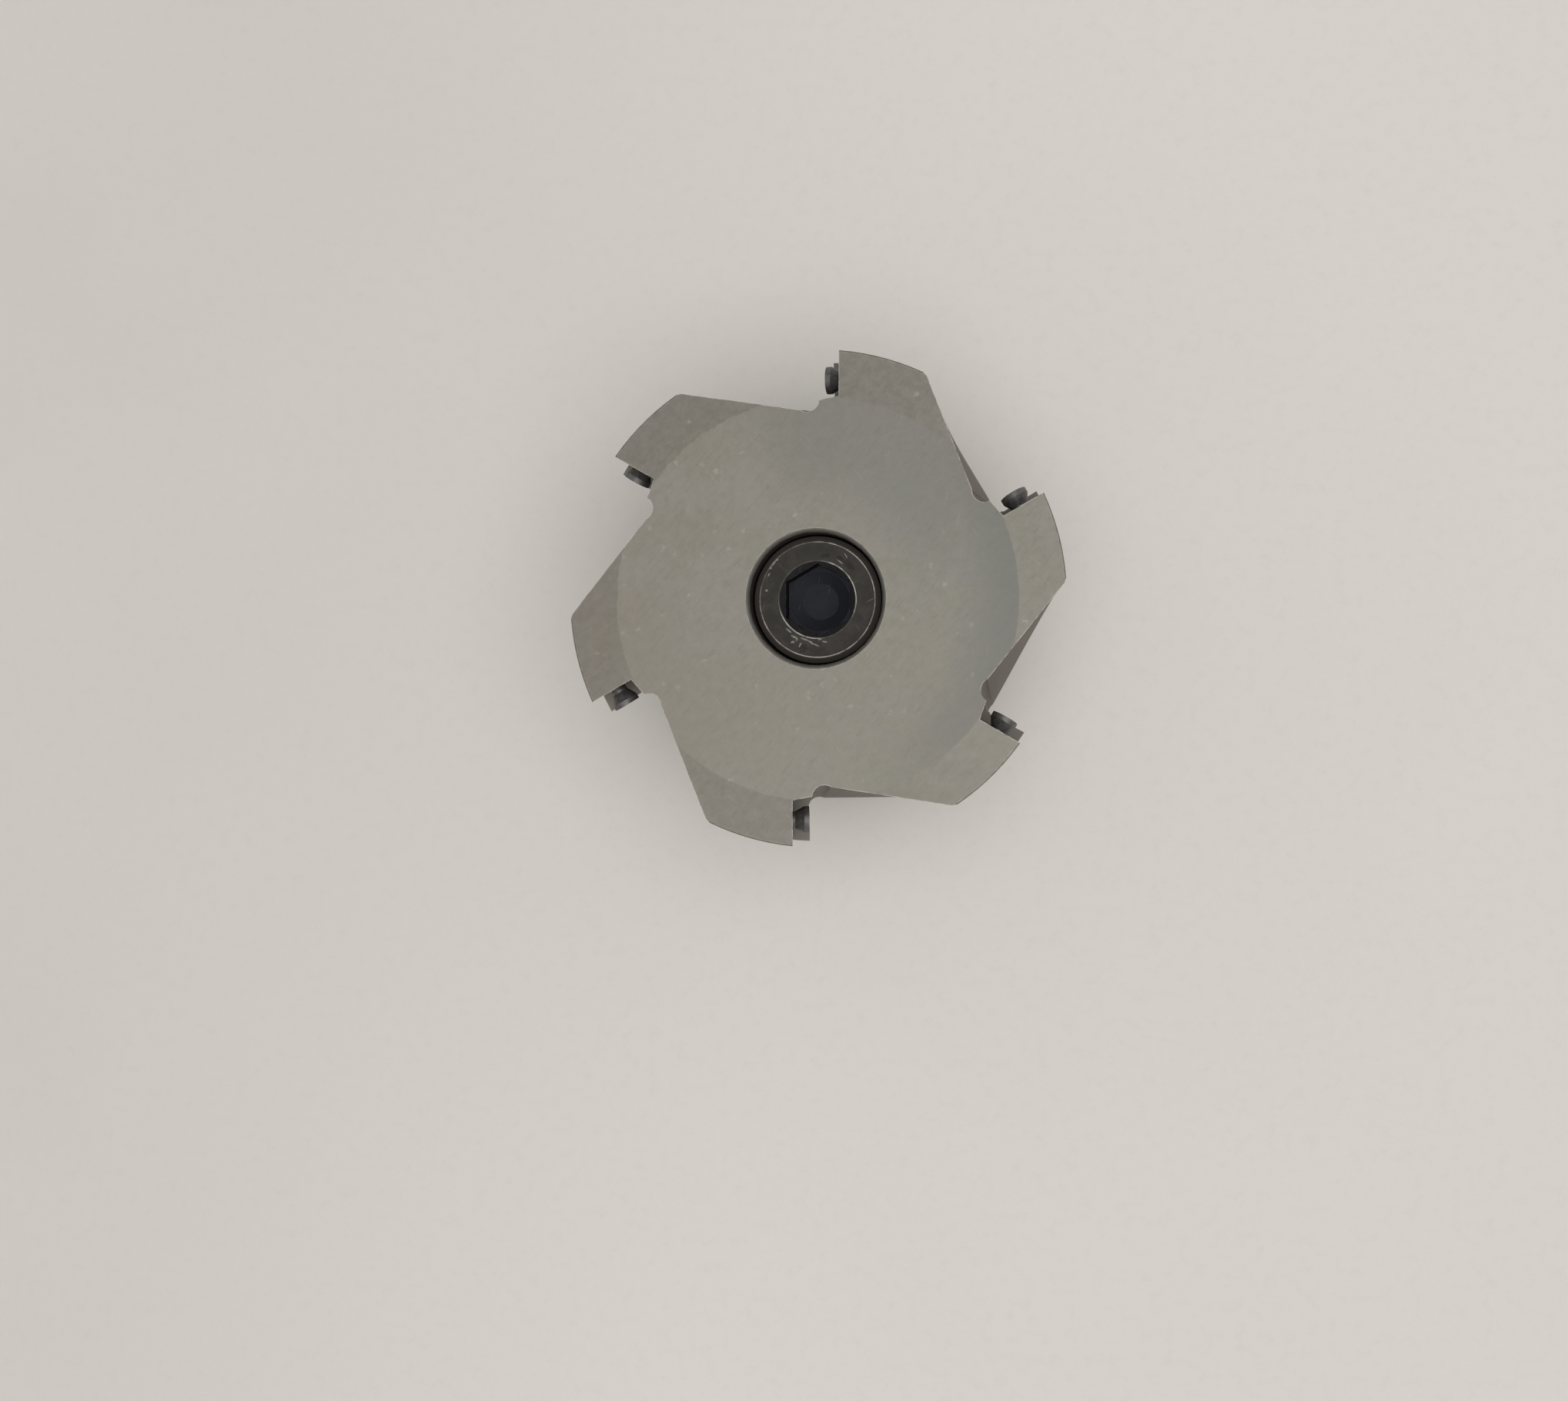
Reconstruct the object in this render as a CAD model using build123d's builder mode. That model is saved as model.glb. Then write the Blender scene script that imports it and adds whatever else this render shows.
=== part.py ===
from build123d import *
from math import atan2, cos, degrees, radians, sin, sqrt, tan
import os

os.makedirs("parts", exist_ok=True)

# Indexable face mill: a shell type cutter body for square shoulders, 63 mm across its inserts.
# It stands on its hub with the cutting face up, its six insert pockets empty and their screws left in.
#
# Frame: millimetres, +Z up along the spindle axis, origin at the centre of the hub's back face.
# Tooth 0 points along +Y, and the teeth are counted clockwise from it, seen from above.
# In a tooth's own plane, x points backward, away from the cutting direction, and y points outward.

# Body, as turned
BODY_HEIGHT = 40.0
HEAD_RADIUS = 31.0
HEAD_LENGTH = 15.0
NECK_LENGTH = 6.0
HUB_RADIUS = 25.0
HUB_CHAMFER = 1.0
RIM_CHAMFER = 0.2
RING_WIDTH = 6.0
RING_DROP = 0.28

# Arbor seat and screw hole
BORE_RADIUS = 11.0
BORE_DEPTH = 20.0
BORE_CHAMFER = 0.8
WEB_THICKNESS = 7.0
COUNTERBORE_GAP = 0.3
COUNTERBORE_CHAMFER = 0.45

# Drive slot across the back face
SLOT_WIDTH = 10.4
SLOT_DEPTH = 6.3
SLOT_CORNER = 0.6

# Teeth and gashes. A gash leans backward and its floor rises outward as it runs down the body
TEETH = 6
GASH_DEPTH = 7.8
GASH_RISE = 7.0
GASH_LEAN = 6.0
GASH_ROOT_RADIUS = 1.5
GASH_ROOT_BITE = 0.12
GASH_WALL_BITE = 0.04
GASH_WALL_ANGLE = 1.5
FLANK_ANGLE = 8.8
FLANK_TWIST = 0.46
HEEL_CHAMFER = 0.4

# Insert pockets
SEAT_OFFSET = 2.97
SEAT_RAKE = 7.0
POCKET_DEPTH = 2.5
POCKET_WIDTH = 5.9
POCKET_LENGTH = 10.0
POCKET_WALL_LEAN = 11.0

# Insert screws, M2.5, countersunk
INSERT_SCREW_RADIUS = 1.25
INSERT_SCREW_LENGTH = 6.5
INSERT_SCREW_HEAD_RADIUS = 1.72
INSERT_SCREW_RIM = 0.65
INSERT_SCREW_CONE_ANGLE = 30.0
INSERT_SCREW_NECK_RADIUS = 1.05
INSERT_SCREW_NECK_LENGTH = 0.35
INSERT_SCREW_FROM_ROOT = 2.7
INSERT_SCREW_FROM_STOP = 5.2
INSERT_SCREW_CLEARANCE = 0.03
INSERT_SCREW_HOLE_RUNOUT = 0.9
LOBES = 6
LOBE_TIP_RADIUS = 1.155
LOBE_VALLEY_RADIUS = 0.845
LOBE_VALLEY_ARC = 0.48
LOBE_RECESS_DEPTH = 1.1

# How far the end of each insert screw's head stands in front of its seat, from tooth 0 on
HEAD_STANDOFF = [2.35, 2.65, 2.35, 2.25, 2.6, 1.9]

# Arbor screw, M10 socket head cap screw
ARBOR_SCREW_RADIUS = 5.0
ARBOR_SCREW_CLEARANCE = 0.5
ARBOR_SCREW_NECK_RADIUS = 4.7
ARBOR_SCREW_HEAD_RADIUS = 8.0
ARBOR_SCREW_HEAD_HEIGHT = 10.0
ARBOR_SCREW_HEAD_CHAMFER = 0.7
ARBOR_SCREW_TIP_CHAMFER = 1.0
ARBOR_SCREW_TIP_RECESS = 2.0
HEX_ACROSS_FLATS = 8.0
HEX_TURN = 30.0
HEX_DEPTH = 5.0
HEX_MOUTH_RADIUS = 4.85
HEX_MOUTH_DEPTH = 0.5
HEX_FLOOR_RADIUS = 2.3
HEX_FLOOR_DEPTH = 0.9
HEX_FLOOR_LEDGE = 0.2

# Sizes and places that follow from the ones above
PITCH_ANGLE = 360 / TEETH
SHOULDER_Z = BORE_DEPTH + WEB_THICKNESS
NECK_TOP_Z = BODY_HEIGHT - HEAD_LENGTH
HUB_TOP_Z = NECK_TOP_Z - NECK_LENGTH
RIM_Z = BODY_HEIGHT - RING_DROP
DISC_RADIUS = HEAD_RADIUS - RING_WIDTH
COUNTERBORE_RADIUS = ARBOR_SCREW_HEAD_RADIUS + COUNTERBORE_GAP
SCREW_HOLE_RADIUS = ARBOR_SCREW_RADIUS + ARBOR_SCREW_CLEARANCE
POCKET_ROOT = HEAD_RADIUS - POCKET_WIDTH
GASH_BOTTOM = HEAD_LENGTH + NECK_LENGTH
INSERT_SCREW_HOLE_RADIUS = INSERT_SCREW_RADIUS + INSERT_SCREW_CLEARANCE
INSERT_SCREW_HOLE_DEPTH = INSERT_SCREW_LENGTH - min(HEAD_STANDOFF) + INSERT_SCREW_HOLE_RUNOUT
ARBOR_SCREW_HEAD_TOP = SHOULDER_Z + ARBOR_SCREW_HEAD_HEIGHT

# How far a cut runs past the surface that it opens
CUT_MARGIN = 1.0


def tooth_plane(tooth):
    """The cutting face's plane, turned to a tooth: x points backward and y outward along the tooth."""
    return Plane.XY.offset(BODY_HEIGHT).rotated((0, 0, -tooth * PITCH_ANGLE))


def seat_plane(tooth):
    """The plane of an insert's seat: x points outward, y down along the seat and z out of the seat."""
    face = tooth_plane(tooth)
    out_of_seat = -face.x_dir * cos(radians(SEAT_RAKE)) - face.z_dir * sin(radians(SEAT_RAKE))
    return Plane(face.from_local_coords((SEAT_OFFSET, 0, 0)), x_dir=face.y_dir, z_dir=out_of_seat)


def screw_plane(tooth):
    """The plane in an insert's seat that is centred on its screw, with z along the screw to its head."""
    seat = seat_plane(tooth)
    centre = (POCKET_ROOT + INSERT_SCREW_FROM_ROOT, POCKET_LENGTH - INSERT_SCREW_FROM_STOP, 0)
    return Plane(seat.from_local_coords(centre), x_dir=seat.x_dir, z_dir=seat.z_dir)


def gash_root(depth):
    """The centre of a gash's round root in the tooth's plane, at a depth below the cutting face."""
    x = SEAT_OFFSET - POCKET_DEPTH + GASH_WALL_BITE - GASH_ROOT_RADIUS
    y = HEAD_RADIUS - GASH_DEPTH + GASH_ROOT_RADIUS
    return Vector(x + depth * tan(radians(GASH_LEAN)), y + depth * tan(radians(GASH_RISE)), -depth)


def flank_to_heel(foot, flank_angle):
    """How far the back of a tooth runs from its foot to the head's outer surface."""
    along = Vector(-cos(radians(flank_angle)), sin(radians(flank_angle)))
    nearest = foot.dot(along)
    return sqrt(nearest**2 + HEAD_RADIUS**2 - foot.length**2) - nearest


def gash_section(tooth, depth):
    """A gash's outline at a depth below the cutting face, as a face, but for its round root.

    It is the wall in front of the pocket, which leans as the seat does, and the back of the tooth
    ahead, which twists on its way down and is blunted at its heel. The root bites a little into both.
    """
    root = gash_root(depth)
    wall_x = SEAT_OFFSET - POCKET_DEPTH + depth * tan(radians(SEAT_RAKE))
    flank_angle = FLANK_ANGLE - depth * FLANK_TWIST
    foot_radius = GASH_ROOT_RADIUS - GASH_ROOT_BITE
    foot = Vector(
        root.X - foot_radius * sin(radians(flank_angle)),
        root.Y - foot_radius * cos(radians(flank_angle)),
    )
    reach = 2 * HEAD_RADIUS
    with BuildSketch(tooth_plane(tooth).offset(-depth)) as section:
        with BuildLine():
            wall = PolarLine((wall_x, root.Y), reach, 90 + GASH_WALL_ANGLE)
            flank = PolarLine(foot, flank_to_heel(foot, flank_angle) - HEEL_CHAMFER, 180 - flank_angle)
            heel_angle = degrees(atan2(-(flank @ 1).X, (flank @ 1).Y))
            heel = PolarLine(flank @ 1, reach, 180 + (heel_angle - flank_angle) / 2)
            Line(wall @ 0, flank @ 0)
            Line(wall @ 1, heel @ 1)
        make_face()
    return section.sketch.face()


def pocket_section(tooth, forward):
    """A pocket's outline at a distance in front of its seat, as a face. Its walls lean apart."""
    lean = forward * tan(radians(POCKET_WALL_LEAN))
    width = POCKET_WIDTH + lean + CUT_MARGIN
    length = POCKET_LENGTH + lean + CUT_MARGIN
    centre = (POCKET_ROOT - lean + width / 2, length / 2 - CUT_MARGIN)
    with BuildSketch(seat_plane(tooth).offset(forward)) as section:
        with Locations(centre):
            Rectangle(width, length)
    return section.sketch.face()


# Mill body: one turned blank, bored, slotted, gashed and pocketed

with BuildPart() as mill_body:
    with BuildSketch(Plane.XZ):
        with BuildLine():
            Polyline(
                (BORE_RADIUS + BORE_CHAMFER, 0),
                (HUB_RADIUS - HUB_CHAMFER, 0),
                (HUB_RADIUS, HUB_CHAMFER),
                (HUB_RADIUS, HUB_TOP_Z),
                (HEAD_RADIUS, NECK_TOP_Z),
                (HEAD_RADIUS, RIM_Z - RIM_CHAMFER),
                (HEAD_RADIUS - RIM_CHAMFER, RIM_Z),
                (DISC_RADIUS, BODY_HEIGHT),
                (COUNTERBORE_RADIUS + COUNTERBORE_CHAMFER, BODY_HEIGHT),
                (COUNTERBORE_RADIUS, BODY_HEIGHT - COUNTERBORE_CHAMFER),
                (COUNTERBORE_RADIUS, SHOULDER_Z),
                (SCREW_HOLE_RADIUS, SHOULDER_Z),
                (SCREW_HOLE_RADIUS, BORE_DEPTH),
                (BORE_RADIUS, BORE_DEPTH),
                (BORE_RADIUS, BORE_CHAMFER),
                close=True,
            )
        make_face()
    revolve(axis=Axis.Z)

    # Drive slot
    with BuildSketch(Plane.XZ.offset(-HUB_RADIUS)):
        RectangleRounded(SLOT_WIDTH, 2 * SLOT_DEPTH, SLOT_CORNER)
    extrude(amount=2 * HUB_RADIUS, mode=Mode.SUBTRACT)

    # Gashes between the teeth
    for tooth in range(TEETH):
        upper = gash_section(tooth, -CUT_MARGIN)
        lower = gash_section(tooth, GASH_BOTTOM + CUT_MARGIN)
        loft([upper, lower], ruled=True, mode=Mode.SUBTRACT)
        face = tooth_plane(tooth)
        root_top = face.from_local_coords(gash_root(-CUT_MARGIN))
        root_end = face.from_local_coords(gash_root(GASH_BOTTOM + CUT_MARGIN))
        with BuildSketch(Plane(root_end, z_dir=root_top - root_end)):
            Circle(GASH_ROOT_RADIUS)
        extrude(amount=(root_top - root_end).length, mode=Mode.SUBTRACT)

    # Insert pockets, each with a hole for its screw
    for tooth in range(TEETH):
        floor = pocket_section(tooth, 0)
        mouth = pocket_section(tooth, POCKET_DEPTH + CUT_MARGIN)
        loft([floor, mouth], ruled=True, mode=Mode.SUBTRACT)
        with BuildSketch(screw_plane(tooth)):
            Circle(INSERT_SCREW_HOLE_RADIUS)
        extrude(amount=-INSERT_SCREW_HOLE_DEPTH, mode=Mode.SUBTRACT)

mill_body.part.label = "mill_body"
export_step(mill_body.part, "parts/mill_body.step")


# Arbor screw: its head stands on the counterbore's floor, its neck passes the web and its tip ends
# inside the bore

with BuildPart() as arbor_screw:
    with BuildSketch(Plane.XZ):
        with BuildLine():
            Polyline(
                (0, ARBOR_SCREW_TIP_RECESS),
                (ARBOR_SCREW_RADIUS - ARBOR_SCREW_TIP_CHAMFER, ARBOR_SCREW_TIP_RECESS),
                (ARBOR_SCREW_RADIUS, ARBOR_SCREW_TIP_RECESS + ARBOR_SCREW_TIP_CHAMFER),
                (ARBOR_SCREW_RADIUS, BORE_DEPTH),
                (ARBOR_SCREW_NECK_RADIUS, BORE_DEPTH),
                (ARBOR_SCREW_NECK_RADIUS, SHOULDER_Z),
                (ARBOR_SCREW_HEAD_RADIUS, SHOULDER_Z),
                (ARBOR_SCREW_HEAD_RADIUS, ARBOR_SCREW_HEAD_TOP - ARBOR_SCREW_HEAD_CHAMFER),
                (ARBOR_SCREW_HEAD_RADIUS - ARBOR_SCREW_HEAD_CHAMFER, ARBOR_SCREW_HEAD_TOP),
                (0, ARBOR_SCREW_HEAD_TOP),
                close=True,
            )
        make_face()
    revolve(axis=Axis.Z)

    # Hexagon socket, with a turned mouth and a drilled floor
    with BuildSketch(Plane.XY.offset(ARBOR_SCREW_HEAD_TOP)):
        RegularPolygon(HEX_ACROSS_FLATS / 2, 6, major_radius=False, rotation=HEX_TURN)
    extrude(amount=-HEX_DEPTH, mode=Mode.SUBTRACT)
    with Locations((0, 0, ARBOR_SCREW_HEAD_TOP - HEX_MOUTH_DEPTH / 2)):
        Cone(HEX_ACROSS_FLATS / 2, HEX_MOUTH_RADIUS, HEX_MOUTH_DEPTH, mode=Mode.SUBTRACT)
    with Locations((0, 0, ARBOR_SCREW_HEAD_TOP - HEX_DEPTH - HEX_FLOOR_DEPTH / 2)):
        Cone(HEX_FLOOR_RADIUS, HEX_ACROSS_FLATS / 2 - HEX_FLOOR_LEDGE, HEX_FLOOR_DEPTH, mode=Mode.SUBTRACT)

arbor_screw.part.label = "arbor_screw"
export_step(arbor_screw.part, "parts/arbor_screw.step")


# Insert screws: one screw, with the end of its head at the origin, set into each of the seats

CONE_LENGTH = (INSERT_SCREW_HEAD_RADIUS - INSERT_SCREW_NECK_RADIUS) / tan(radians(INSERT_SCREW_CONE_ANGLE))
NECK_START = INSERT_SCREW_RIM + CONE_LENGTH
THREAD_START = NECK_START + INSERT_SCREW_NECK_LENGTH

with BuildPart() as insert_screw:
    with BuildSketch(Plane.XZ):
        with BuildLine():
            Polyline(
                (0, 0),
                (INSERT_SCREW_HEAD_RADIUS, 0),
                (INSERT_SCREW_HEAD_RADIUS, -INSERT_SCREW_RIM),
                (INSERT_SCREW_NECK_RADIUS, -NECK_START),
                (INSERT_SCREW_NECK_RADIUS, -THREAD_START),
                (INSERT_SCREW_RADIUS, -THREAD_START),
                (INSERT_SCREW_RADIUS, -INSERT_SCREW_LENGTH),
                (0, -INSERT_SCREW_LENGTH),
                close=True,
            )
        make_face()
    revolve(axis=Axis.Z)

    # Six-lobed driver recess
    with BuildSketch(Plane.XY):
        Circle(LOBE_TIP_RADIUS)
        with PolarLocations(LOBE_VALLEY_RADIUS + LOBE_VALLEY_ARC, LOBES):
            Circle(LOBE_VALLEY_ARC, mode=Mode.SUBTRACT)
    extrude(amount=-LOBE_RECESS_DEPTH, mode=Mode.SUBTRACT)

with BuildPart() as insert_screws:
    for tooth in range(TEETH):
        standoff = HEAD_STANDOFF[tooth % len(HEAD_STANDOFF)]
        with Locations(screw_plane(tooth).offset(standoff)):
            add(insert_screw.part)

insert_screws.part.label = "insert_screws"
export_step(insert_screws.part, "parts/insert_screws.step")
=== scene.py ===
from math import cos, hypot, pi, radians, sin

import bmesh
import bpy
from mathutils import Matrix, Vector


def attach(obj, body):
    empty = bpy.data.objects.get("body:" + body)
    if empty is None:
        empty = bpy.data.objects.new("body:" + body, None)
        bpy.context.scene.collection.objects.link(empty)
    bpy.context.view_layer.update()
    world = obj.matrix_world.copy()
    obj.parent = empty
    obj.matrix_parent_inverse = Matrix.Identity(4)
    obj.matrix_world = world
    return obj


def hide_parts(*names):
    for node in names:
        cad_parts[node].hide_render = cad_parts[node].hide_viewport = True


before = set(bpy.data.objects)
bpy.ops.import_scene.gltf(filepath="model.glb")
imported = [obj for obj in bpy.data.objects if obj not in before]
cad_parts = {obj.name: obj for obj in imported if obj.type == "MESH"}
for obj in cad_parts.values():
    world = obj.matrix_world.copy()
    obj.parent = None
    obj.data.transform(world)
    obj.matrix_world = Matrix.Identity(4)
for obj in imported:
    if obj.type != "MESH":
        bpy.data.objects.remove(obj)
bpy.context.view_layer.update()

# Lengths below are in millimetres, which this brings to metres, and angles are in degrees
MM = 0.001

# Mill body, as in the part's source
BODY_HEIGHT = 40.0
HEAD_RADIUS = 31.0
HUB_TOP_Z = 19.0
DISC_RADIUS = 25.0
RIM_EDGE_Z = 39.52
COUNTERBORE_RADIUS = 8.3
TEETH = 6
SEAT_OFFSET = 2.97
SEAT_RAKE = 7.0
POCKET_WIDTH = 5.9

# Arbor screw, M10. Its plain cylinder ends at the shank's top, under the neck
ARBOR_HEAD_TOP = 37.0
ARBOR_HEAD_FLAT_RADIUS = 7.3
SOCKET_MOUTH_RADIUS = 4.85
SOCKET_FLOOR_Z = 32.0
DRILLED_RADIUS = 2.3
ARBOR_SHANK_TOP = 20.0
ARBOR_THREAD = {
    "radius": 5.0,
    "pitch": 1.5,
    "low": 2.0,
    "high": ARBOR_SHANK_TOP + 0.2,
    "chamfer": 1.0,
    "neck_radius": 4.7,
    "steps": 48,
}

# Insert screws, M2.5, each counted down from the end of its head. The place is a point of the
# seat, counted outward from the axis and down from the face
INSERT_SCREW_PLACE = (HEAD_RADIUS - POCKET_WIDTH + 2.7, 4.8)
HEAD_STANDOFF = [2.35, 2.65, 2.35, 2.25, 2.6, 1.9]
INSERT_SHANK_TOP = -2.1604
INSERT_THREAD = {
    "radius": 1.25,
    "pitch": 0.45,
    "low": -6.5,
    "high": INSERT_SHANK_TOP + 0.05,
    "chamfer": 0.25,
    "neck_radius": 1.05,
    "steps": 24,
}

# Metric thread form, in parts of the pitch
THREAD_DEPTH = 0.6134
CREST_FLAT = 0.125
ROOT_FLAT = 0.167

# Marks on the arbor screw's head: centre, half length and half width, turn
DARK_MARKS = [
    ((4.0, 4.3), (0.9, 0.45), -45),
    ((1.0, 5.5), (0.7, 0.35), 10),
    ((2.9, 5.2), (0.6, 0.3), -30),
    ((-1.9, -6.1), (0.7, 0.5), 20),
]
BRIGHT_CHIPS = [
    ((-5.5, 4.6), (0.45, 0.14), 50),
    ((-5.9, 4.0), (0.2, 0.12), 50),
    ((-6.4, 1.2), (0.16, 0.14), 0),
    ((-3.6, -3.9), (0.5, 0.1), -40),
    ((-2.9, -4.7), (0.55, 0.12), -25),
    ((-1.6, -5.0), (0.7, 0.1), -20),
    ((-0.8, -5.4), (0.5, 0.12), -35),
    ((0.3, -5.0), (0.3, 0.1), 10),
    ((-2.2, -5.7), (0.35, 0.1), 60),
    ((-3.1, -5.3), (0.3, 0.14), 15),
    ((-2.6, -5.0), (0.2, 0.1), 80),
    ((0.9, -5.3), (0.4, 0.1), -10),
    ((-0.2, -5.7), (0.45, 0.09), -25),
    ((-5.1, 5.0), (0.25, 0.1), 30),
    ((-6.1, 3.2), (0.25, 0.1), 75),
    ((2.9, 4.7), (0.5, 0.08), -38),
    ((3.6, 5.5), (0.35, 0.07), -60),
]
MARK_DEPTH = 2.0

# The photograph's camera, solved from the mill's edges. Its turn is in radians
CAMERA_PLACE = (19.108, -12.065, 288.017)
CAMERA_TURN = (-0.00279, 0.092825, -0.00415)
CAMERA_LENS = 45.968
CAMERA_SENSOR = 36.0

FLOOR_SIZE = 6000
FLOOR_DROP = 0.02

# Kinds of socket of a node group
NUMBER = "NodeSocketFloat"
PLACE = "NodeSocketVector"


# Meshes


def merged_copy(node_name):
    """A CAD node's mesh as a bmesh, with its loose triangles joined."""
    bm = bmesh.new()
    bm.from_mesh(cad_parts[node_name].data)
    bmesh.ops.remove_doubles(bm, verts=bm.verts[:], dist=0.001 * MM)
    return bm


def close_holes(bm):
    """Fills every open loop of a bmesh with a face."""
    bmesh.ops.holes_fill(bm, edges=[edge for edge in bm.edges if edge.is_boundary], sides=0)


def thread(radius, pitch, low, high, chamfer, neck_radius, steps):
    """A right-hand metric thread along Z from low to high, closed at both ends.

    One pitch of the profile is spun upward as a helix, with spare turns at both ends that are cut
    off again. The crest is chamfered at the low end, and runs out to just under the neck's radius
    at the high end.
    """
    spare_turns = 2
    under_neck = 0.02
    bm = bmesh.new()
    root_radius = radius - THREAD_DEPTH * pitch
    crest = CREST_FLAT * pitch
    root = ROOT_FLAT * pitch
    flank = (pitch - crest - root) / 2
    start = low - spare_turns * pitch
    heights = [0, crest, crest + flank, crest + flank + root, pitch]
    radii = [radius, radius, root_radius, root_radius, radius]
    points = [bm.verts.new((r, 0, start + height)) for r, height in zip(radii, heights)]
    profile = [bm.edges.new(pair) for pair in zip(points, points[1:])]
    turns = int((high - low) / pitch) + 2 * spare_turns
    bmesh.ops.spin(
        bm,
        geom=points + profile,
        cent=(0, 0, 0),
        axis=(0, 0, 1),
        dvec=(0, 0, pitch / steps),
        angle=2 * pi * turns,
        steps=steps * turns,
        use_merge=False,
    )
    bmesh.ops.remove_doubles(bm, verts=bm.verts[:], dist=0.002)
    for height, outward in ((low, -1), (high, 1)):
        bmesh.ops.bisect_plane(
            bm,
            geom=bm.verts[:] + bm.edges[:] + bm.faces[:],
            dist=0.0001,
            plane_co=(0, 0, height),
            plane_no=(0, 0, outward),
            clear_outer=True,
        )
    close_holes(bm)
    for vert in bm.verts:
        reach = hypot(vert.co.x, vert.co.y)
        limit = radius - max(0.0, low + chamfer - vert.co.z)
        run_out = (vert.co.z - (high - pitch)) / pitch
        if run_out > 0:
            limit = min(limit, radius + (neck_radius - under_neck - radius) * run_out)
        if reach > limit:
            vert.co.x *= limit / reach
            vert.co.y *= limit / reach
    bmesh.ops.recalc_face_normals(bm, faces=bm.faces[:])
    return bm


def put_in(bm, added, place):
    """Adds a bmesh in millimetres to one in metres, at a place given in millimetres."""
    bmesh.ops.transform(added, matrix=Matrix.Scale(MM, 4) @ place, verts=added.verts[:])
    mesh = bpy.data.meshes.new("added")
    added.to_mesh(mesh)
    added.free()
    bm.from_mesh(mesh)
    bpy.data.meshes.remove(mesh)


def finished(bm, name, node_name, material):
    """Makes a bmesh into a piece that rides with the mill and stands for a CAD node."""
    sharp_angle = 22
    mesh = bpy.data.meshes.new(name)
    bm.to_mesh(mesh)
    bm.free()
    if mesh.has_custom_normals:
        mesh.attributes.remove(mesh.attributes["custom_normal"])
    mesh.shade_smooth()
    mesh.set_sharp_from_angle(angle=radians(sharp_angle))
    mesh.materials.append(material)
    piece = bpy.data.objects.new(name, mesh)
    bpy.context.scene.collection.objects.link(piece)
    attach(piece, "root")
    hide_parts(node_name)


def plain_shank(bm, place, shank_top, form):
    """The faces of a screw's plain cylinder, for a screw at a place with a form of thread."""
    inverse = place.inverted()
    widest = 2.4 * form["radius"]
    lowest = form["low"] - 1.5
    highest_z = shank_top + 0.01
    faces = []
    for face in bm.faces:
        centre = inverse @ (face.calc_center_median() / MM)
        if hypot(centre.x, centre.y) < widest and lowest < centre.z < highest_z:
            faces.append(face)
    return faces


def threaded_screws(node_name, places, shank_top, form, material):
    """A CAD node's screws with real threads in place of their plain cylinders.

    A place turns a screw's own frame, with Z along it to the driver, into the mill's.
    """
    bm = merged_copy(node_name)
    plain = [face for place in places for face in plain_shank(bm, place, shank_top, form)]
    bmesh.ops.delete(bm, geom=plain, context="FACES")
    close_holes(bm)
    bmesh.ops.recalc_face_normals(bm, faces=bm.faces[:])
    for place in places:
        put_in(bm, thread(**form), place)
    finished(bm, node_name + "_threaded", node_name, material)


def insert_screw_place(tooth):
    """Where an insert screw is: the end of its head, with Z along it to the driver."""
    rake = radians(SEAT_RAKE)
    seat = Matrix((
        (0, sin(rake), -cos(rake), SEAT_OFFSET),
        (1, 0, 0, 0),
        (0, -cos(rake), -sin(rake), BODY_HEIGHT),
        (0, 0, 0, 1),
    ))
    turn = Matrix.Rotation(-tooth * 2 * pi / TEETH, 4, "Z")
    return turn @ seat @ Matrix.Translation((*INSERT_SCREW_PLACE, HEAD_STANDOFF[tooth]))


# Nodes. A value is a number or another node's output


def tone(red, green, blue):
    """A colour read as 0 to 255 on a screen, as the shader's own numbers."""
    return tuple(((c / 255 + 0.055) / 1.055) ** 2.4 for c in (red, green, blue)) + (1.0,)


def put(tree, kind, sockets=None, **settings):
    """A node. Its sockets take a number, a colour or another node's output."""
    node = tree.nodes.new(kind)
    for name, value in settings.items():
        setattr(node, name, value)
    for name, value in (sockets or {}).items():
        if isinstance(value, bpy.types.NodeSocket):
            tree.links.new(value, node.inputs[name])
        else:
            node.inputs[name].default_value = value
    return node


def calc(tree, operation, first, *others):
    """The result of one kind of sum on values, taken in turn from the first on."""
    if not others:
        return put(tree, "ShaderNodeMath", {0: first}, operation=operation).outputs[0]
    for other in others:
        node = put(tree, "ShaderNodeMath", {0: first, 1: other}, operation=operation)
        first = node.outputs[0]
    return first


def total(tree, *values):
    """The sum of values."""
    return calc(tree, "ADD", *values)


def less(tree, first, second):
    """The first value minus the second."""
    return calc(tree, "SUBTRACT", first, second)


def product(tree, *values):
    """The product of values. For masks, it is where all of them hold."""
    return calc(tree, "MULTIPLY", *values)


def highest(tree, *values):
    """The highest of values. For masks, it is where any of them holds."""
    return calc(tree, "MAXIMUM", *values)


def outside(tree, mask):
    """The opposite of a mask."""
    return less(tree, 1.0, mask)


def raised(tree, base, share, value):
    """A base with a share of a value added."""
    return total(tree, base, product(tree, value, share))


def rise(tree, value, low, high):
    """A smooth rise from 0 at low to 1 at high. With low above high it falls."""
    return put(
        tree,
        "ShaderNodeMapRange",
        {"Value": value, "From Min": low, "From Max": high},
        interpolation_type="SMOOTHSTEP",
    ).outputs["Result"]


def band(tree, value, middle, width):
    """A soft line where a value is near its middle."""
    away = calc(tree, "ABSOLUTE", less(tree, value, middle))
    return rise(tree, away, width, width * 0.3)


def blend(tree, factor, first, second):
    """A mix of two colours, from the first at 0 to the second at 1."""
    mix = put(tree, "ShaderNodeMix", {0: factor, 6: first, 7: second}, data_type="RGBA")
    return mix.outputs[2]


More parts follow.
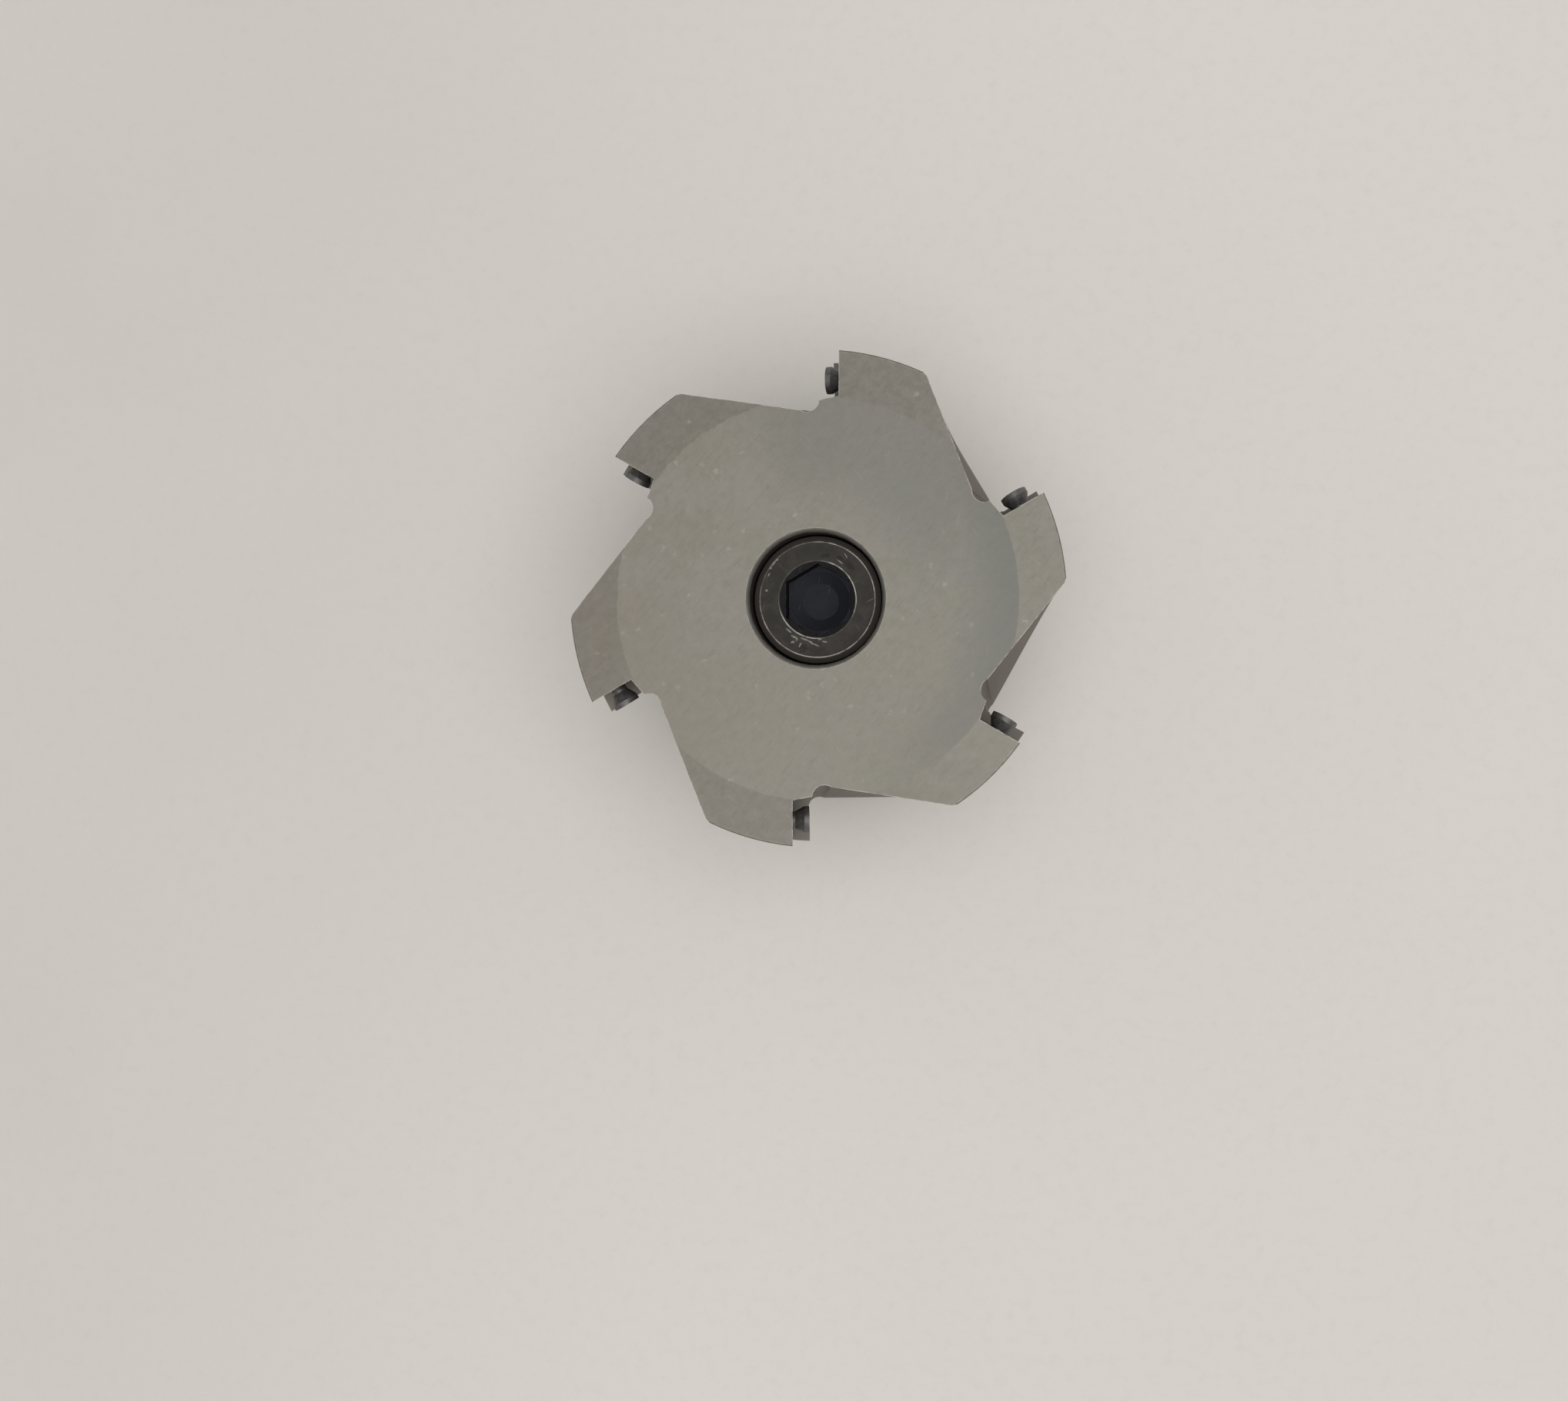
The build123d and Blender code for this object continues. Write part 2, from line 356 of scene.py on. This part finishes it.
def mottled(tree, look, dark, light):
    """A colour that wavers between two tones with a handled surface's mottling."""
    return blend(tree, rise(tree, look.outputs["Mottle"], 0.3, 0.7), tone(*dark), tone(*light))


def layered(tree, colour, *layers):
    """A colour with others laid over it in turn. A layer is a mask, its strength and a tone."""
    for mask, strength, over in layers:
        colour = blend(tree, product(tree, mask, strength), colour, tone(*over))
    return colour


def vector(tree, operation, first, second=(0, 0, 0)):
    """The result of one sum on vectors, which is a number for a length or a dot product."""
    node = put(tree, "ShaderNodeVectorMath", {0: first, 1: second}, operation=operation)
    return node.outputs["Value" if operation in ("LENGTH", "DOT_PRODUCT") else "Vector"]


def scaled(tree, first, factor):
    """A vector made longer by a factor."""
    sockets = {0: first, "Scale": factor}
    return put(tree, "ShaderNodeVectorMath", sockets, operation="SCALE").outputs["Vector"]


def parts_of(tree, place):
    """The X, Y and Z of a place."""
    split = put(tree, "ShaderNodeSeparateXYZ", {0: place})
    return split.outputs["X"], split.outputs["Y"], split.outputs["Z"]


def flat_place(tree, x, y=0.0):
    """A place with an X and a Y alone."""
    return put(tree, "ShaderNodeCombineXYZ", {"X": x, "Y": y}).outputs[0]


def millimetres(tree):
    """The object's own coordinates, in millimetres."""
    return scaled(tree, put(tree, "ShaderNodeTexCoord").outputs["Object"], 1 / MM)


def from_axis(tree, place):
    """The distance from the spindle axis."""
    x, y, _ = parts_of(tree, place)
    return vector(tree, "LENGTH", flat_place(tree, x, y))


def facing(tree, place, angle, low, high):
    """A rise with how near a point's direction from the axis is to an angle, counted from +X."""
    x, y, _ = parts_of(tree, place)
    unit = vector(tree, "NORMALIZE", flat_place(tree, x, y))
    aim = (cos(radians(angle)), sin(radians(angle)), 0)
    return rise(tree, vector(tree, "DOT_PRODUCT", unit, aim), low, high)


def stretched(tree, place, turn, size):
    """The place in turned axes, counted in the sizes of a mark, for marks that run one way."""
    sockets = {"Vector": place, "Rotation": (0, 0, radians(turn)), "Scale": size}
    return put(tree, "ShaderNodeMapping", sockets, vector_type="TEXTURE").outputs["Vector"]


def noise(tree, place, scale, detail=3.0, roughness=0.5, distortion=0.0):
    """A noise value. Its scale is the number of features in a millimetre."""
    sockets = {
        "Vector": place,
        "Scale": scale,
        "Detail": detail,
        "Roughness": roughness,
        "Distortion": distortion,
    }
    return put(tree, "ShaderNodeTexNoise", sockets).outputs["Fac"]


def head_marks(tree, place, marks):
    """The masks of ragged oval marks on the arbor screw's head."""
    uneven = less(tree, noise(tree, place, 3.0, detail=4, roughness=0.7), 0.5)
    ragged = product(tree, uneven, 1.6)
    masks = []
    for centre, size, turn in marks:
        moved = vector(tree, "SUBTRACT", place, (*centre, ARBOR_HEAD_TOP))
        away = vector(tree, "LENGTH", stretched(tree, moved, turn, (*size, MARK_DEPTH)))
        masks.append(rise(tree, total(tree, away, ragged), 1.05, 0.75))
    return masks


def new_group(name, inputs, outputs):
    """An empty node group with named sockets, its input node and its output node."""
    group = bpy.data.node_groups.new(name, "ShaderNodeTree")
    for socket, kind in inputs.items():
        group.interface.new_socket(socket, in_out="INPUT", socket_type=kind)
    for socket, kind in outputs.items():
        group.interface.new_socket(socket, in_out="OUTPUT", socket_type=kind)
    return group, group.nodes.new("NodeGroupInput"), group.nodes.new("NodeGroupOutput")


def make_handled_metal():
    """Node group: soft mottling, pale specks, fine scratches and grain of a handled surface."""
    group, given, result = new_group(
        "handled_metal",
        {"Place": PLACE, "Mottle size": NUMBER, "Grain size": NUMBER},
        {"Mottle": NUMBER, "Tint": NUMBER, "Specks": NUMBER, "Scratches": NUMBER, "Grain": NUMBER},
    )
    place = given.outputs["Place"]
    per_mottle = calc(group, "DIVIDE", 1.0, given.outputs["Mottle size"])
    per_grain = calc(group, "DIVIDE", 1.0, given.outputs["Grain size"])
    mottle = noise(group, place, per_mottle, detail=6, roughness=0.62, distortion=0.4)
    tint = noise(group, place, product(group, per_mottle, 0.35), detail=3, distortion=0.8)

    spread = put(group, "ShaderNodeTexNoise", {"Vector": place, "Scale": 1.9, "Detail": 3.0})
    moved = vector(group, "ADD", place, scaled(group, spread.outputs["Color"], 1.3))
    cells = put(group, "ShaderNodeTexVoronoi", {"Vector": moved, "Scale": 0.6, "Randomness": 1.0})
    chosen = rise(group, parts_of(group, cells.outputs["Color"])[0], 0.72, 0.95)
    near = rise(group, cells.outputs["Distance"], 0.26, 0.04)

    scratches = []
    for turn, offset in ((24, 0.0), (-52, 7.0), (78, 13.0)):
        run = stretched(group, place, turn, (3.6, 0.16, 1.0))
        run = vector(group, "ADD", run, (offset, offset, 0))
        lines = noise(group, run, 1.0, detail=1.5, roughness=0.4)
        scratches.append(rise(group, lines, 0.72, 0.80))

    coarse = noise(group, place, per_grain, detail=4, roughness=0.6)
    fine = noise(group, place, product(group, per_grain, 3.1), detail=2)
    for name, value in (
        ("Mottle", mottle),
        ("Tint", tint),
        ("Specks", product(group, chosen, near)),
        ("Scratches", highest(group, *scratches)),
        ("Grain", total(group, product(group, coarse, 0.7), product(group, fine, 0.3))),
    ):
        group.links.new(value, result.inputs[name])
    return group


def make_edge_wear_and_crease_shade():
    """Node group: a mask of outer edges that handling has worn, broken into patches, and a mask of
    painted shade in creases and hollows.
    """
    group, given, result = new_group(
        "edge_wear_and_crease_shade",
        {"Place": PLACE, "Width": NUMBER, "Patch size": NUMBER, "Cover": NUMBER},
        {"Mask": NUMBER, "Crease shade": NUMBER},
    )
    width = given.outputs["Width"]
    rounded = put(group, "ShaderNodeBevel", {"Radius": width}, samples=4).outputs[0]
    true_normal = put(group, "ShaderNodeNewGeometry").outputs["Normal"]
    edge = rise(group, vector(group, "DOT_PRODUCT", rounded, true_normal), 0.985, 0.86)
    reach = {"Distance": product(group, width, 4.0)}
    open_sky = put(group, "ShaderNodeAmbientOcclusion", reach, samples=4).outputs["AO"]
    outer = rise(group, open_sky, 0.6, 0.85)
    per_patch = calc(group, "DIVIDE", 1.0, given.outputs["Patch size"])
    patches = noise(group, given.outputs["Place"], per_patch, detail=4, roughness=0.65)
    worn = rise(group, less(group, patches, outside(group, given.outputs["Cover"])), -0.08, 0.08)
    group.links.new(product(group, edge, outer, worn), result.inputs["Mask"])
    # Painted shade: where little open sky is near, in creases and hollows
    group.links.new(outside(group, open_sky), result.inputs["Crease shade"])
    return group


def use(tree, group, **sockets):
    """A node group placed in a material. Underscores stand for spaces in its sockets' names."""
    named = {name.replace("_", " "): value for name, value in sockets.items()}
    return put(tree, "ShaderNodeGroup", named, node_tree=group)


def new_material(name):
    """An empty material, its tree and its shader."""
    material = bpy.data.materials.new(name)
    material.use_nodes = True
    tree = material.node_tree
    tree.nodes.clear()
    shader = tree.nodes.new("ShaderNodeBsdfPrincipled")
    output = tree.nodes.new("ShaderNodeOutputMaterial")
    tree.links.new(shader.outputs[0], output.inputs["Surface"])
    return material, tree, shader


def finish_with(tree, shader, colour, rough, metallic):
    """Feeds a colour and a roughness to the shader, and sets how metallic it is."""
    tree.links.new(colour, shader.inputs["Base Color"])
    tree.links.new(rough, shader.inputs["Roughness"])
    shader.inputs["Metallic"].default_value = metallic


def bumped(tree, shader, height, strength, depth):
    """Feeds a height to the shader's normal."""
    sockets = {"Height": height, "Strength": strength, "Distance": depth * MM}
    tree.links.new(put(tree, "ShaderNodeBump", sockets).outputs["Normal"], shader.inputs["Normal"])


# Materials


def steel_face(tree, place, look):
    """The cutting face's colour: a mottled disc in a ring that starts with a ragged edge, with
    painted light, shade and reflections over both.
    """
    x, y, _ = parts_of(tree, place)
    radius = from_axis(tree, place)
    raggedness = total(tree, 0.4, facing(tree, place, 140, 0.2, 0.9))
    uneven = less(tree, noise(tree, place, 1.1, detail=6, roughness=0.7), 0.3)
    ragged = total(tree, radius, product(tree, uneven, raggedness))
    ring = rise(tree, ragged, DISC_RADIUS + 0.15, DISC_RADIUS + 0.3)
    # Painted light and shade on the ring: besides its own slightly darker finish, it is painted
    # darker on the left and lighter towards the right
    ring_lit_side = facing(tree, place, -12, 0.2, 0.95)
    ring_finish_and_painted_light = blend(tree, ring_lit_side, tone(84, 81, 75), tone(130, 127, 118))

    tinted = rise(tree, look.outputs["Tint"], 0.35, 0.65)
    tinted = blend(tree, tinted, tone(122, 122, 112), tone(137, 131, 124))
    face = mottled(tree, look, (133, 129, 119), (146, 141, 131))
    face = blend(tree, 0.35, face, tinted)
    face = blend(tree, product(tree, ring, 0.3), face, ring_finish_and_painted_light)

    streaks = stretched(tree, place, 48, (2.4, 0.5, 1.0))
    patchy = product(tree, less(tree, look.outputs["Tint"], 0.5), 60.0)
    across = total(tree, x, patchy)
    up = total(tree, y, patchy)
    in_disc = outside(tree, ring)
    # Painted shade: the disc darker near its right edge, and in a wedge towards the upper right
    painted_shade_right = product(tree, rise(tree, radius, 16, 25), facing(tree, place, -5, 0.2, 0.9))
    painted_shade_top = product(tree, rise(tree, radius, 8, 18), facing(tree, place, 62, 0.5, 0.95), 0.6)
    cloudy = rise(tree, noise(tree, place, 0.8, detail=6, roughness=0.72), 0.34, 0.66)
    streaked = rise(tree, noise(tree, streaks, 1.0, detail=4, roughness=0.7), 0.5, 0.72)
    pitted = rise(tree, look.outputs["Grain"], 0.56, 0.7)
    # Painted reflections: the face warmer on the left, and the disc cooler on the right
    warm_painted_reflection = rise(tree, across, -8, -30)
    cool_painted_reflection = product(tree, rise(tree, across, 4, 26), rise(tree, up, -14, 6), in_disc)
    face_painted_shade = product(tree, highest(tree, painted_shade_right, painted_shade_top), in_disc)
    # Painted light: the face lighter towards the bottom
    painted_light_below = rise(tree, up, -2, -26)
    return layered(
        tree,
        face,
        (cloudy, 0.3, (151, 148, 139)),
        (streaked, 0.22, (97, 95, 87)),
        (pitted, 0.14, (88, 84, 77)),
        (look.outputs["Specks"], 0.34, (184, 180, 170)),
        (warm_painted_reflection, 0.24, (139, 126, 115)),
        (cool_painted_reflection, 0.32, (121, 126, 123)),
        (face_painted_shade, 0.6, (114, 114, 109)),
        (painted_light_below, 0.22, (149, 145, 134)),
    )


def satin_body_steel(handled, edge_wear_and_crease_shade):
    """Satin grey steel of the mill body: mottled on its face, browner and milled in its gashes,
    with painted light, shade and reflections on the face, in the gashes, around the counterbore
    and in creases.
    """
    material, tree, shader = new_material("satin_body_steel")
    place = millimetres(tree)
    look = use(tree, handled, Place=place, Mottle_size=3.2, Grain_size=0.22)
    wear_and_shade = use(tree, edge_wear_and_crease_shade, Place=place, Width=0.16 * MM, Patch_size=1.1, Cover=0.54)
    z = parts_of(tree, place)[2]
    radius = from_axis(tree, place)
    upward = parts_of(tree, put(tree, "ShaderNodeTexCoord").outputs["Normal"])[2]

    in_gash = product(
        tree,
        rise(tree, radius, HEAD_RADIUS - 0.03, HEAD_RADIUS - 0.15),
        rise(tree, z, HUB_TOP_Z, HUB_TOP_Z + 0.5),
        rise(tree, upward, -0.66, -0.5),
    )
    # Gash walls: browner and darker, partly an oxide tint, partly painted shade and a painted
    # reddish reflection. Upward ledges: a lighter, greyer tone as painted light
    ledge_painted_light = rise(tree, upward, 0.8, 0.9)
    turned = mottled(tree, look, (110, 107, 100), (122, 118, 110))
    milled_tint_and_painted_shade = mottled(tree, look, (92, 84, 77), (106, 97, 89))
    milled_tint_and_painted_shade = blend(tree, ledge_painted_light, milled_tint_and_painted_shade, tone(121, 115, 107))
    feed_marks = noise(tree, flat_place(tree, z), 4.0, detail=4, roughness=0.8)
    side = blend(tree, in_gash, turned, milled_tint_and_painted_shade)
    side = layered(tree, side, (rise(tree, feed_marks, 0.4, 0.7), 0.2, (146, 141, 132)))

    below_face = rise(tree, z, RIM_EDGE_Z, RIM_EDGE_Z - 0.2)
    # Painted shade: the counterbore's wall darkened, fading out just past its edge on the face
    counterbore_painted_shade = product(
        tree,
        rise(tree, radius, COUNTERBORE_RADIUS + 0.38, COUNTERBORE_RADIUS + 0.03),
        rise(tree, z, ARBOR_HEAD_TOP - 1.0, ARBOR_HEAD_TOP),
    )
    colour = layered(
        tree,
        blend(tree, below_face, steel_face(tree, place, look), side),
        (look.outputs["Scratches"], 0.22, (178, 173, 164)),
        (counterbore_painted_shade, 0.75, (46, 44, 43)),
        # Painted shade in creases and hollows, in a dark brown
        (wear_and_shade.outputs["Crease shade"], 0.4, (62, 55, 49)),
        (wear_and_shade.outputs["Mask"], 0.65, (200, 195, 187)),
    )
    rough = raised(tree, 0.52, 0.12, look.outputs["Mottle"])
    rough = raised(tree, rough, -0.18, wear_and_shade.outputs["Mask"])
    rough = raised(tree, rough, -0.14, product(tree, below_face, outside(tree, in_gash)))
    finish_with(tree, shader, colour, rough, 0.75)

    # Grain everywhere, turned rings on what faces down, and feed marks on upright walls
    rings = noise(tree, flat_place(tree, radius), 7.0, detail=3, roughness=0.7)
    downward = rise(tree, upward, -0.8, -0.95)
    upright = product(tree, rise(tree, calc(tree, "ABSOLUTE", upward), 0.35, 0.15), below_face)
    height = total(
        tree,
        look.outputs["Grain"],
        product(tree, rings, downward, 2.5),
        product(tree, feed_marks, upright, 1.6),
        product(tree, look.outputs["Scratches"], -0.25),
    )
    bumped(tree, shader, height, 0.35, 0.02)
    return material


def socket_colour_and_painted_shade(tree, look, radius, z):
    """The arbor screw's socket: walls painted dark as shade, and a lighter floor that slopes in to
    its drilling, which is painted darker as shade.
    """
    return layered(
        tree,
        mottled(tree, look, (15, 16, 21), (21, 22, 28)),
        (rise(tree, z, SOCKET_FLOOR_Z + 0.3, SOCKET_FLOOR_Z + 0.1), 1.0, (39, 40, 46)),
        (rise(tree, z, SOCKET_FLOOR_Z - 0.01, SOCKET_FLOOR_Z - 0.05), 1.0, (54, 55, 62)),
        (rise(tree, radius, DRILLED_RADIUS + 0.03, DRILLED_RADIUS - 0.01), 1.0, (28, 29, 35)),
    )


def worn_lines(tree, place, radius, z):
    """Where the edges of the arbor screw's head and of its socket are worn bright."""
    rim_side = highest(
        tree,
        facing(tree, place, 20, 0.1, 0.8),
        facing(tree, place, 252, 0.1, 0.8),
    )
    rim_line = band(tree, radius, ARBOR_HEAD_FLAT_RADIUS, 0.15)
    rim_line = product(tree, rim_line, raised(tree, 0.3, 0.6, rim_side))
    mouth_side = highest(
        tree,
        facing(tree, place, 30, 0.45, 0.85),
        facing(tree, place, 232, 0.6, 0.95),
    )
    mouth_line = band(tree, radius, SOCKET_MOUTH_RADIUS + 0.02, 0.11)
    mouth_line = product(tree, mouth_line, raised(tree, 0.1, 0.8, mouth_side))
    patches = rise(tree, noise(tree, place, 0.9, detail=5, roughness=0.7), 0.38, 0.6)
    top = rise(tree, z, ARBOR_HEAD_TOP - 0.12, ARBOR_HEAD_TOP - 0.04)
    lines = highest(tree, rim_line, mouth_line)
    return product(tree, lines, top, raised(tree, 0.35, 0.65, patches))


def black_arbor_screw(handled, edge_wear_and_crease_shade):
    """Black oxide of the arbor screw, worn bright along the head's and the socket's edges, with
    painted light on its outer chamfer and painted shade in its socket.
    """
    material, tree, shader = new_material("black_arbor_screw")
    place = millimetres(tree)
    look = use(tree, handled, Place=place, Mottle_size=1.8, Grain_size=0.16)
    wear_and_shade = use(tree, edge_wear_and_crease_shade, Place=place, Width=0.1 * MM, Patch_size=0.9, Cover=0.5)
    z = parts_of(tree, place)[2]
    radius = from_axis(tree, place)

    # Painted light: the head's outer chamfer, down in the counterbore, is painted much lighter
    # than the black head
    chamfer_painted_light = product(
        tree,
        rise(tree, radius, ARBOR_HEAD_FLAT_RADIUS, ARBOR_HEAD_FLAT_RADIUS + 0.12),
        rise(tree, z, ARBOR_HEAD_TOP - 1.0, ARBOR_HEAD_TOP - 0.6),
    )
    # Painted shade: the socket's mouth darker than the head
    mouth_painted_shade = product(
        tree,
        rise(tree, radius, SOCKET_MOUTH_RADIUS + 0.02, SOCKET_MOUTH_RADIUS - 0.05),
        rise(tree, z, ARBOR_HEAD_TOP - 0.01, ARBOR_HEAD_TOP - 0.1),
    )
    in_socket = product(
        tree,
        rise(tree, radius, SOCKET_MOUTH_RADIUS - 0.1, SOCKET_MOUTH_RADIUS - 0.25),
        rise(tree, z, ARBOR_HEAD_TOP - 0.3, ARBOR_HEAD_TOP - 0.6),
        rise(tree, z, SOCKET_FLOOR_Z - 2.5, SOCKET_FLOOR_Z - 2.0),
    )
    colour = layered(
        tree,
        mottled(tree, look, (43, 40, 36), (58, 54, 50)),
        (chamfer_painted_light, 0.9, (110, 104, 99)),
        (mouth_painted_shade, 0.7, (27, 27, 30)),
    )
    # The socket in its own tones, with painted shade on its walls and in its drilling
    colour = blend(tree, in_socket, colour, socket_colour_and_painted_shade(tree, look, radius, z))
    marks = head_marks(tree, place, DARK_MARKS)
    colour = layered(tree, colour, *((mark, 0.6, (30, 27, 26)) for mark in marks))
    bright = highest(
        tree,
        worn_lines(tree, place, radius, z),
        product(tree, highest(tree, *head_marks(tree, place, BRIGHT_CHIPS)), 0.38),
        product(tree, wear_and_shade.outputs["Mask"], 0.35),
        product(tree, look.outputs["Scratches"], 0.2),
    )
    colour = blend(tree, bright, colour, tone(182, 175, 167))
    finish_with(tree, shader, colour, raised(tree, 0.42, 0.16, look.outputs["Mottle"]), 0.5)
    shader.inputs["Specular IOR Level"].default_value = 0.28
    bumped(tree, shader, raised(tree, look.outputs["Grain"], -0.6, bright), 0.3, 0.02)
    return material


def black_insert_screw(handled, edge_wear_and_crease_shade):
    """Black oxide of the small insert screws, painted mid grey as a sheen, and a little shiny on
    the heads' rims, where worn edges are painted lighter as highlights.
    """
    material, tree, shader = new_material("black_insert_screw")
    place = millimetres(tree)
    look = use(tree, handled, Place=place, Mottle_size=0.7, Grain_size=0.08)
    wear_and_shade = use(tree, edge_wear_and_crease_shade, Place=place, Width=0.06 * MM, Patch_size=0.5, Cover=0.5)
    # Painted sheen: the black oxide in a mid grey
    colour = mottled(tree, look, (87, 85, 84), (116, 113, 111))
    # Worn edges, painted lighter as highlights too
    colour = layered(tree, colour, (wear_and_shade.outputs["Mask"], 0.5, (150, 147, 143)))
    finish_with(tree, shader, colour, raised(tree, 0.4, 0.16, look.outputs["Mottle"]), 0.6)
    bumped(tree, shader, look.outputs["Grain"], 0.25, 0.01)
    return material


def pale_floor_finish():
    """A pale matt table top, lighter towards the light, with faint cloudiness and fine tooth."""
    material, tree, shader = new_material("pale_floor_finish")
    place = millimetres(tree)
    x, y, _ = parts_of(tree, place)
    lit = rise(tree, raised(tree, x, -0.25, y), -130, 20)
    cloud = rise(tree, noise(tree, place, 0.02, detail=4, roughness=0.55), 0.3, 0.7)
    flecks = rise(tree, noise(tree, place, 0.5, detail=5, roughness=0.72), 0.45, 0.8)
    colour = layered(
        tree,
        blend(tree, lit, tone(211, 206, 199), tone(224, 219, 212)),
        (cloud, 0.25, (222, 215, 206)),
        (flecks, 0.2, (198, 193, 186)),
    )
    finish_with(tree, shader, colour, raised(tree, 0.7, 0.1, cloud), 0.0)
    bumped(tree, shader, noise(tree, place, 2.0, detail=3, roughness=0.6), 0.1, 0.05)
    return material


# Floor, lights and camera


def lay_floor(material):
    """The pale floor that the hub stands on."""
    bm = bmesh.new()
    bmesh.ops.create_grid(bm, x_segments=1, y_segments=1, size=FLOOR_SIZE * MM)
    bmesh.ops.translate(bm, verts=bm.verts[:], vec=(0, 0, -FLOOR_DROP * MM))
    mesh = bpy.data.meshes.new("floor")
    bm.to_mesh(mesh)
    bm.free()
    mesh.materials.append(material)
    floor = bpy.data.objects.new("floor", mesh)
    bpy.context.scene.collection.objects.link(floor)


def hang_light(name, toward, spread, strength):
    """A wide soft light that falls evenly from one direction."""
    light = bpy.data.lights.new(name, "SUN")
    light.angle = radians(spread)
    light.energy = strength
    lamp = bpy.data.objects.new(name, light)
    lamp.rotation_mode = "QUATERNION"
    lamp.rotation_quaternion = (-Vector(toward)).to_track_quat("-Z", "Y")
    bpy.context.scene.collection.objects.link(lamp)


def set_surround(overhead, level):
    """A white surround with one strength overhead and another level with the mill."""
    world = bpy.data.worlds.new("surround")
    world.use_nodes = True
    tree = world.node_tree
    background = tree.nodes["Background"]
    background.inputs["Color"].default_value = (1.0, 1.0, 1.0, 1.0)
    upward = parts_of(tree, put(tree, "ShaderNodeTexCoord").outputs["Generated"])[2]
    strength = raised(tree, level, overhead - level, rise(tree, upward, 0.0, 0.8))
    tree.links.new(strength, background.inputs["Strength"])
    bpy.context.scene.world = world


def set_camera():
    """The photograph's camera, almost straight above the cutting face."""
    data = bpy.data.cameras.new("camera")
    data.sensor_width = CAMERA_SENSOR
    data.lens = CAMERA_LENS
    camera = bpy.data.objects.new("camera", data)
    camera.location = Vector(CAMERA_PLACE) * MM
    camera.rotation_euler = CAMERA_TURN
    bpy.context.scene.collection.objects.link(camera)
    bpy.context.scene.camera = camera


handled_metal = make_handled_metal()
# Worn edges, and painted shade in creases
worn_edges_and_crease_shade = make_edge_wear_and_crease_shade()
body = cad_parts["mill_body"]
body.data.materials[0] = satin_body_steel(handled_metal, worn_edges_and_crease_shade)
threaded_screws(
    "arbor_screw",
    [Matrix.Identity(4)],
    ARBOR_SHANK_TOP,
    ARBOR_THREAD,
    black_arbor_screw(handled_metal, worn_edges_and_crease_shade),
)
threaded_screws(
    "insert_screws",
    [insert_screw_place(tooth) for tooth in range(TEETH)],
    INSERT_SHANK_TOP,
    INSERT_THREAD,
    black_insert_screw(handled_metal, worn_edges_and_crease_shade),
)

lay_floor(pale_floor_finish())
set_surround(overhead=0.35, level=0.8)
hang_light("key", toward=(0.14, -0.07, 0.98), spread=56, strength=1.45)
set_camera()
bpy.context.scene.view_settings.view_transform = "Standard"
